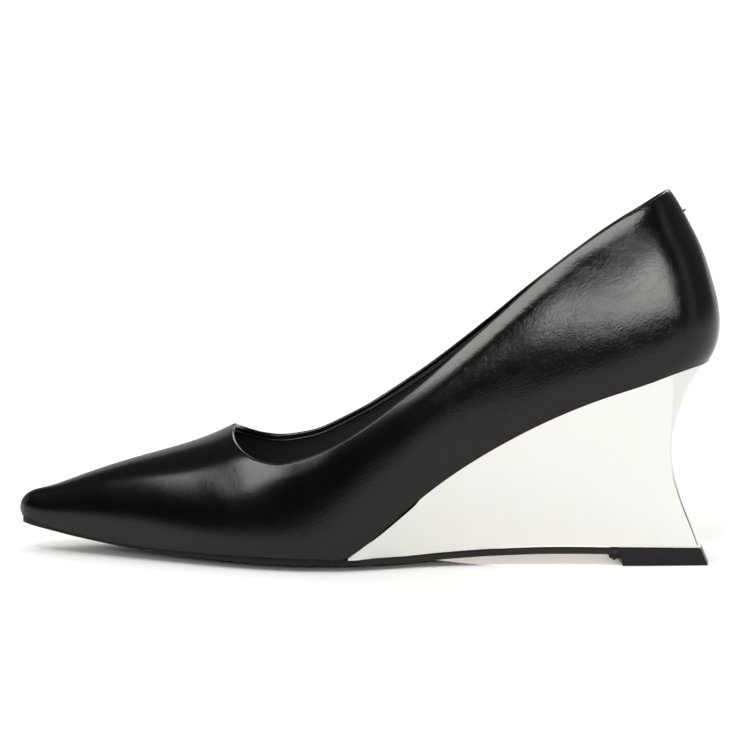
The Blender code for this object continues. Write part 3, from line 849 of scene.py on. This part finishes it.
pore = add_node(
    tree, "ShaderNodeTexVoronoi", {"feature": "SMOOTH_F1", "Scale": 1 / PORE},
    {"Vector": swayed.outputs["Color"]},
)
bump = add_node(
    tree, "ShaderNodeBump", {"Strength": 1.0, "Distance": PORE_DEPTH},
    {"Height": pore.outputs["Distance"], "Normal": lined.outputs["Normal"]},
)
patchy = add_node(tree, "ShaderNodeTexNoise", {"Scale": 1 / PATCH, "Detail": 3.0}, {"Vector": where})
gloss = add_node(
    tree, "ShaderNodeMapRange", {"To Min": 0.14, "To Max": 0.21}, {"Value": patchy.outputs["Fac"]}
)
dye = add_node(
    tree, "ShaderNodeMixRGB", {"Color1": linear("040303"), "Color2": linear("070605")},
    {"Fac": patchy.outputs["Fac"]},
)
shader = add_node(
    tree, "ShaderNodeBsdfPrincipled", {"IOR": 1.38},
    {"Base Color": dye.outputs["Color"], "Roughness": gloss.outputs["Result"],
     "Normal": bump.outputs["Normal"]},
)
add_node(tree, "ShaderNodeOutputMaterial", links={"Surface": shader.outputs["BSDF"]})
print("material:", calf.name, "with", len(tree.nodes), "nodes")

# %% [markdown]
# Black lining leather: thin split skin with a matt face. It swallows most of the light, so the inside
# of the shoe reads as nearly black, with only a dull sheen on its fine nap. The nap is finer than
# a tenth of a millimetre and is drawn coarser to show.

# %% Black lining leather
NAP = 0.9 * MM
NAP_DEPTH = 0.03 * MM
NAP_CLOUD = 6 * MM

split, tree, where = new_material("black_lining_leather")
nap = add_node(tree, "ShaderNodeTexVoronoi", {"Scale": 1 / NAP}, {"Vector": where})
bump = add_node(
    tree, "ShaderNodeBump", {"Strength": 0.8, "Distance": NAP_DEPTH}, {"Height": nap.outputs["Distance"]}
)
cloud = add_node(tree, "ShaderNodeTexNoise", {"Scale": 1 / NAP_CLOUD, "Detail": 4.0}, {"Vector": where})
tone = add_node(
    tree, "ShaderNodeMixRGB", {"Color1": linear("12100D"), "Color2": linear("1A1713")},
    {"Fac": cloud.outputs["Fac"]},
)
shader = add_node(
    tree, "ShaderNodeBsdfPrincipled", {"Roughness": 0.68, "IOR": 1.4},
    {"Base Color": tone.outputs["Color"], "Normal": bump.outputs["Normal"]},
)
add_node(tree, "ShaderNodeOutputMaterial", links={"Surface": shader.outputs["BSDF"]})
print("material:", split.name, "with", len(tree.nodes), "nodes")

# %% [markdown]
# The sock is the thin leather that covers the board under the foot. It is pressed smooth, so it shines
# a little more than the lining, and it has small pores, drawn about a millimetre apart to show.

# %% Black sock leather
SOCK_PORE = 1.1 * MM
SOCK_PORE_DEPTH = 0.03 * MM
SOCK_RUB = 12 * MM

cover, tree, where = new_material("black_sock_leather")
pore = add_node(
    tree, "ShaderNodeTexVoronoi", {"feature": "SMOOTH_F1", "Scale": 1 / SOCK_PORE}, {"Vector": where}
)
bump = add_node(
    tree, "ShaderNodeBump", {"Strength": 1.0, "Distance": SOCK_PORE_DEPTH},
    {"Height": pore.outputs["Distance"]},
)
rub = add_node(tree, "ShaderNodeTexNoise", {"Scale": 1 / SOCK_RUB, "Detail": 3.0}, {"Vector": where})
gloss = add_node(
    tree, "ShaderNodeMapRange", {"To Min": 0.42, "To Max": 0.58}, {"Value": rub.outputs["Fac"]}
)
shader = add_node(
    tree, "ShaderNodeBsdfPrincipled", {"Base Color": linear("14120F"), "IOR": 1.45},
    {"Roughness": gloss.outputs["Result"], "Normal": bump.outputs["Normal"]},
)
add_node(tree, "ShaderNodeOutputMaterial", links={"Surface": shader.outputs["BSDF"]})
print("material:", cover.name, "with", len(tree.nodes), "nodes")

# %% [markdown]
# The wedge is a plastic moulding with bright silver plating. Plating copies the mould: it is a mirror,
# but a slightly wavy one, with fine polishing haze that makes a reflection duller in some places than
# in others. In the photograph it mirrors the pale floor, so it looks almost white.

# %% Bright silver plating
MOULD_WAVE = 18 * MM
MOULD_DEPTH = 0.05 * MM
HAZE = 5 * MM

plating, tree, where = new_material("bright_silver_plating")
wave = add_node(tree, "ShaderNodeTexNoise", {"Scale": 1 / MOULD_WAVE, "Detail": 1.0}, {"Vector": where})
bump = add_node(
    tree, "ShaderNodeBump", {"Strength": 1.0, "Distance": MOULD_DEPTH}, {"Height": wave.outputs["Fac"]}
)
haze = add_node(
    tree, "ShaderNodeTexNoise", {"Scale": 1 / HAZE, "Detail": 5.0, "Roughness": 0.6}, {"Vector": where}
)
dull = add_node(
    tree, "ShaderNodeMapRange", {"To Min": 0.04, "To Max": 0.11}, {"Value": haze.outputs["Fac"]}
)
tint = add_node(
    tree, "ShaderNodeMixRGB", {"Color1": linear("E6E5E1"), "Color2": linear("EAE9E6")},
    {"Fac": haze.outputs["Fac"]},
)
shader = add_node(
    tree, "ShaderNodeBsdfPrincipled", {"Metallic": 1.0},
    {"Base Color": tint.outputs["Color"], "Roughness": dull.outputs["Result"],
     "Normal": bump.outputs["Normal"]},
)
add_node(tree, "ShaderNodeOutputMaterial", links={"Surface": shader.outputs["BSDF"]})
print("material:", plating.name, "with", len(tree.nodes), "nodes")

# %% [markdown]
# The outsole is cut from a sheet of black rubber. Its edge is buffed, which leaves a grey bloom and a
# fine pitted surface. The pits are drawn at nearly twice their real half millimetre.

# %% Black sole rubber
PIT = 0.9 * MM
PIT_DEPTH = 0.03 * MM
BLOOM = 8 * MM

rubber, tree, where = new_material("black_sole_rubber")
speck = add_node(tree, "ShaderNodeTexNoise", {"Scale": 1 / PIT, "Detail": 4.0}, {"Vector": where})
bump = add_node(
    tree, "ShaderNodeBump", {"Strength": 1.0, "Distance": PIT_DEPTH}, {"Height": speck.outputs["Fac"]}
)
bloom = add_node(tree, "ShaderNodeTexNoise", {"Scale": 1 / BLOOM, "Detail": 5.0}, {"Vector": where})
tone = add_node(
    tree, "ShaderNodeMixRGB", {"Color1": linear("0C0C0C"), "Color2": linear("141413")},
    {"Fac": bloom.outputs["Fac"]},
)
shader = add_node(
    tree, "ShaderNodeBsdfPrincipled", {"Roughness": 0.55, "IOR": 1.33},
    {"Base Color": tone.outputs["Color"], "Normal": bump.outputs["Normal"]},
)
add_node(tree, "ShaderNodeOutputMaterial", links={"Surface": shader.outputs["BSDF"]})
print("material:", rubber.name, "with", len(tree.nodes), "nodes")

# %% [markdown]
# The top-lift is a dense polyurethane block, harder and a little shinier than the sole. Its sides are
# ground flush with the wedge on a wheel, which leaves fine level lines, drawn half a millimetre apart to
# show.

# %% Black polyurethane top-lift
GRIND = 0.5 * MM
GRIND_STRETCH = 14.0
GRIND_DEPTH = 0.012 * MM

dense, tree, where = new_material("black_polyurethane")
level = add_node(
    tree, "ShaderNodeMapping",
    {"vector_type": "TEXTURE", "Scale": (GRIND_STRETCH, GRIND_STRETCH, 1.0)}, {"Vector": where},
)
lines = add_node(
    tree, "ShaderNodeTexNoise", {"Scale": 1 / GRIND, "Detail": 3.0}, {"Vector": level.outputs["Vector"]}
)
bump = add_node(
    tree, "ShaderNodeBump", {"Strength": 1.0, "Distance": GRIND_DEPTH}, {"Height": lines.outputs["Fac"]}
)
worn = add_node(
    tree, "ShaderNodeMapRange", {"To Min": 0.34, "To Max": 0.5}, {"Value": lines.outputs["Fac"]}
)
shader = add_node(
    tree, "ShaderNodeBsdfPrincipled", {"Base Color": linear("0C0C0C"), "IOR": 1.33},
    {"Roughness": worn.outputs["Result"], "Normal": bump.outputs["Normal"]},
)
add_node(tree, "ShaderNodeOutputMaterial", links={"Surface": shader.outputs["BSDF"]})
print("material:", dense.name, "with", len(tree.nodes), "nodes")

# %% [markdown]
# Polyester sewing thread is two plies twisted together. The twist catches the light as fine slanted
# bands, drawn here about half as many as there are. A bump shapes them, and a painted sheen lightens
# the colour along each band.

# %% Black sewing thread
TWIST = 0.5 * MM
TWIST_DEPTH = 0.04 * MM
BAND_AT_ONE = 0.3  # metres between the wave node's bands at scale 1, roughly

thread, tree, where = new_material("black_polyester_thread")
ply = add_node(
    tree, "ShaderNodeTexWave",
    {"wave_type": "BANDS", "bands_direction": "DIAGONAL", "Scale": BAND_AT_ONE / TWIST}, {"Vector": where},
)
bump = add_node(
    tree, "ShaderNodeBump", {"Strength": 1.0, "Distance": TWIST_DEPTH}, {"Height": ply.outputs["Fac"]}
)
# Painted sheen: the colour is lighter along each band, where the twist catches the light, on top of the
# bump.
tone = add_node(
    tree, "ShaderNodeMixRGB", {"Color1": linear("090807"), "Color2": linear("12110F")},
    {"Fac": ply.outputs["Fac"]},
)
shader = add_node(
    tree, "ShaderNodeBsdfPrincipled", {"Roughness": 0.65, "IOR": 1.4},
    {"Base Color": tone.outputs["Color"], "Normal": bump.outputs["Normal"]},
)
add_node(tree, "ShaderNodeOutputMaterial", links={"Surface": shader.outputs["BSDF"]})
print("material:", thread.name, "with", len(tree.nodes), "nodes")

# %% [markdown]
# Contact cement dries to a dull film over its lumps, duller on the high spots than between them.

# %% Dried black cement
FILM = 0.7 * MM
FILM_DEPTH = 0.05 * MM

cement, tree, where = new_material("dried_black_cement")
film = add_node(tree, "ShaderNodeTexNoise", {"Scale": 1 / FILM, "Detail": 3.0}, {"Vector": where})
bump = add_node(
    tree, "ShaderNodeBump", {"Strength": 1.0, "Distance": FILM_DEPTH}, {"Height": film.outputs["Fac"]}
)
dry = add_node(
    tree, "ShaderNodeMapRange", {"To Min": 0.5, "To Max": 0.75}, {"Value": film.outputs["Fac"]}
)
shader = add_node(
    tree, "ShaderNodeBsdfPrincipled", {"Base Color": linear("080706"), "IOR": 1.3},
    {"Roughness": dry.outputs["Result"], "Normal": bump.outputs["Normal"]},
)
add_node(tree, "ShaderNodeOutputMaterial", links={"Surface": shader.outputs["BSDF"]})
print("material:", cement.name, "with", len(tree.nodes), "nodes")

# %% [markdown]
# Every piece rides on the shoe's one body, takes its material and, where it stands for
# a imported solid, hides that solid.

# %% Dress the pieces
for piece, material, slot, node in (
    (upper, calf, "black_leather", "upper"),
    (lining, split, "black_leather", None),
    (lining_fold, calf, "black_leather", None),
    (stitches, thread, "black_leather", None),
    (sock, cover, "insole_board", "insole"),
    (wedge, plating, "silver_plating", "wedge_heel"),
    (outsole, rubber, "black_rubber", "outsole"),
    (bead, cement, "black_rubber", None),
    (lift, dense, "black_top_lift", "top_lift"),
):
    piece.data.materials.clear()
    piece.data.materials.append(material)
    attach(piece, "root")
    if node:
        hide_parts(node)
    triangles = sum(len(face.vertices) - 2 for face in piece.data.polygons)
    print(piece.name, "in", material.name, triangles, "triangles")

# %% [markdown]
# The camera faces the shoe's outer side from 85 cm away and looks down on it a little, as in the photograph.

# %% Camera
CAMERA_AT = Vector((3.2, -850.0, 135.8)) * MM
CAMERA_TO = Vector((3.2, 0.0, 63.8)) * MM
LENS, SENSOR = 117.1, 36.0

scene = bpy.context.scene
lens = bpy.data.cameras.new("camera")
lens.lens = LENS
lens.sensor_width = SENSOR
camera = bpy.data.objects.new("camera", lens)
scene.collection.objects.link(camera)
camera.location = CAMERA_AT
camera.rotation_euler = (CAMERA_TO - CAMERA_AT).to_track_quat("-Z", "Y").to_euler()
scene.camera = camera
scene.view_settings.view_transform = "Standard"
print("camera at", in_mm(CAMERA_AT), "mm")

# %% [markdown]
# The floor is a wide sheet of pale paper with a faint mottle from its fibres. It is lit until it reads as
# white, and the wedge and the lower part of the leather mirror it.

# %% Floor
FLOOR = 16.0
FIBRE = 2 * MM

bpy.ops.object.select_all(action="DESELECT")
bpy.ops.mesh.primitive_plane_add(size=FLOOR)
floor = bpy.context.object
floor.name = "floor"
paper, tree, where = new_material("pale_paper")
fibre = add_node(tree, "ShaderNodeTexNoise", {"Scale": 1 / FIBRE, "Detail": 3.0}, {"Vector": where})
tone = add_node(
    tree, "ShaderNodeMixRGB", {"Color1": linear("CDCDCD"), "Color2": linear("CFCFCF")},
    {"Fac": fibre.outputs["Fac"]},
)
shader = add_node(
    tree, "ShaderNodeBsdfPrincipled", {"Roughness": 0.9, "Specular IOR Level": 0.0},
    {"Base Color": tone.outputs["Color"]},
)
add_node(tree, "ShaderNodeOutputMaterial", links={"Surface": shader.outputs["BSDF"]})
floor.data.materials.append(paper)
print("floor:", FLOOR, "m wide")

# %% [markdown]
# The room gives warm, even light from all round, which fills the shadows. Two lamps on the camera's side
# shape what is left of them: a high one gives the shadow under the toe its edge, and a low one lights the
# floor in front of the shoe, which the wedge mirrors. A narrow beam from behind lights the floor under
# the arch, as in the photograph. None of the three shows in the leather.

# %% Room and lamps
ROOM_LIGHT = (1.63, 1.6, 1.56, 1.0)
ARCH = Vector((54, 0, 0)) * MM
ARCH_POWER = 70.0
ARCH_FROM = 0.4
ARCH_SPREAD = math.radians(11)

world = bpy.data.worlds.new("warm_white_room")
scene.world = world
world.use_nodes = True
world.node_tree.nodes["Background"].inputs["Color"].default_value = ROOM_LIGHT


def direction(azimuth, elevation):
    """Unit vector: azimuth 0 is towards the camera and grows towards the heel."""
    a, e = math.radians(azimuth), math.radians(elevation)
    return Vector((math.sin(a) * math.cos(e), -math.cos(a) * math.cos(e), math.sin(e)))


def lamp(name, azimuth, elevation, strength, colour, spread):
    """Even light from one side, which the leather doesn't mirror."""
    made = bpy.data.objects.new(name, bpy.data.lights.new(name, "SUN"))
    made.data.energy = strength
    made.data.color = colour
    made.data.angle = math.radians(spread)
    made.rotation_euler = (-direction(azimuth, elevation)).to_track_quat("-Z", "Y").to_euler()
    made.visible_glossy = False
    scene.collection.objects.link(made)


# azimuth and elevation in degrees, strength, colour, spread in degrees
lamp("shoulder_lamp", -15, 52, 0.95, (0.9, 0.95, 1.0), 6)
lamp("low_front_lamp", 10, 14, 1.5, (1.0, 0.95, 0.86), 8)
beam = bpy.data.objects.new("arch_beam", bpy.data.lights.new("arch_beam", "SPOT"))
beam.data.energy = ARCH_POWER
beam.data.color = (1.0, 0.95, 0.88)
beam.data.spot_size = ARCH_SPREAD
beam.data.spot_blend = 0.5
beam.location = ARCH + direction(180, 5) * ARCH_FROM
beam.rotation_euler = (ARCH - beam.location).to_track_quat("-Z", "Y").to_euler()
beam.visible_glossy = False
scene.collection.objects.link(beam)
print("lamps:", [light.name for light in bpy.data.lights])

# %% [markdown]
# The leather mirrors softboxes: a small near one with a dimmer spill round it on the quarter, a wide one
# overhead along the collar, a slanting strip on the vamp and a strip for the inner side. Each is placed
# by how it is seen from the point on the shoe that mirrors it. They are lights that show only in
# reflections, so the floor stays evenly white.

# %% Softboxes
QUARTER = (75, -30, 88)
VAMP = (-45, -30, 30)
COLLAR = (40, -28, 80)
INNER_SIDE = (40, 28, 70)
WARM = (1.0, 0.99, 0.95)


def softbox(name, seen_from, azimuth, elevation, distance, width, height, radiance, roll=0.0):
    """A soft light, placed by how it is seen from a point on the shoe. It shows only in reflections."""
    light = bpy.data.lights.new(name, "AREA")
    light.shape = "RECTANGLE"
    light.size, light.size_y = width, height
    light.energy = math.pi * width * height * radiance
    light.color = WARM
    made = bpy.data.objects.new(name, light)
    scene.collection.objects.link(made)
    away = direction(azimuth, elevation)
    made.location = Vector(seen_from) * MM + away * distance
    turn = (-away).to_track_quat("-Z", "Y").to_matrix() @ Matrix.Rotation(math.radians(roll), 3, "Z")
    made.rotation_euler = turn.to_euler()
    made.visible_camera = made.visible_diffuse = False
    print("softbox", name, "at", in_mm(made.location), "mm")


# seen from, azimuth and elevation in degrees, distance, width and height in metres, radiance
softbox("key", QUARTER, 26.5, 19.9, 0.183, 0.163, 0.053, 10.4, roll=6)
softbox("key_spill", QUARTER, 27, 28.5, 0.5, 0.24, 0.149, 2.8)
softbox("overhead", COLLAR, -22, 58, 0.9, 0.87, 0.52, 11.0)
softbox("toe_strip", VAMP, -64, 40, 0.4, 0.115, 0.27, 8.2, roll=47)
softbox("back_strip", INNER_SIDE, 155, 35, 0.8, 0.5, 0.16, 6.1)

# %% [markdown]
# Cards keep the room's white out of the leather, so that it reads as black between the softboxes. Black
# ones stand on the camera's side, and grey ones elsewhere leave a soft glow along the heel and the inner
# side. Each is a patch of a large dome, given by its azimuths and elevations, and it shows only in
# reflections. A low black skirt stands nearer to the shoe than the rest.

# %% Cards round the shoe
DOME = 3.0
INSIDE_DOME = 2.9
SKIRT = 0.9


def put_up(card, grey):
    """Gives a card an even grey glow, and lets it show only in reflections."""
    paint = bpy.data.materials.new(card.name)
    paint.use_nodes = True
    paint.node_tree.nodes.clear()
    glow = add_node(paint.node_tree, "ShaderNodeEmission", {"Color": (grey, grey, grey, 1.0)})
    add_node(paint.node_tree, "ShaderNodeOutputMaterial", links={"Surface": glow.outputs["Emission"]})
    card.data.materials.append(paint)
    card.visible_camera = card.visible_diffuse = card.visible_shadow = False
    print("card", card.name, "with", len(card.data.polygons), "faces")


def dome_card(name, azimuths, elevations, grey, radius=DOME):
    bpy.ops.object.select_all(action="DESELECT")
    bpy.ops.mesh.primitive_uv_sphere_add(segments=72, ring_count=36, radius=radius)
    made = bpy.context.object
    made.name = name
    take_up(made)

    def outside(face):
        place = face.calc_center_median().normalized()
        azimuth = math.degrees(math.atan2(place.x, -place.y))
        elevation = math.degrees(math.asin(place.z))
        beyond = not azimuths[0] <= azimuth <= azimuths[1]
        return beyond or not elevations[0] <= elevation <= elevations[1]

    pick("FACE", outside)
    bpy.ops.mesh.delete(type="FACE")
    put_down()
    put_up(made, grey)


# azimuths and elevations in degrees, glow, radius
dome_card("dark_front", (-90, 60), (0, 90), 0.0)
dome_card("grey_right", (60, 130), (0, 90), 0.2)
dome_card("pale_low", (40, 130), (0, 5), 0.6, INSIDE_DOME)
dome_card("right_strip", (65, 75), (5, 60), 0.8, INSIDE_DOME)
dome_card("dim_left", (-180, -90), (30, 90), 0.1)
dome_card("grey_left", (-180, -90), (0, 30), 0.5)
dome_card("dim_back", (130, 180), (0, 90), 0.3)
dome_card("pale_back", (130, 180), (0, 12), 0.9, INSIDE_DOME)
dome_card("dark_skirt", (-90, 20), (0, 5), 0.0, SKIRT)

# %% [markdown]
# One small white card stands low beside the heel. Only the back corner of the wedge mirrors it, which
# gives that corner its bright line.

# %% Low card beside the heel
LOW_CARD_AT = Vector((190, 30, 40)) * MM
LOW_CARD_SIZE = (0.08, 0.2, 1.0)
LOW_CARD_GLOW = 1.05

bpy.ops.object.select_all(action="DESELECT")
bpy.ops.mesh.primitive_plane_add(size=1.0, location=LOW_CARD_AT, rotation=(0, math.pi / 2, 0))
low_card = bpy.context.object
low_card.name = "low_white_card"
take_up(low_card, "OBJECT")
low_card.scale = LOW_CARD_SIZE
bpy.ops.object.transform_apply(location=True, rotation=True, scale=True)
put_up(low_card, LOW_CARD_GLOW)
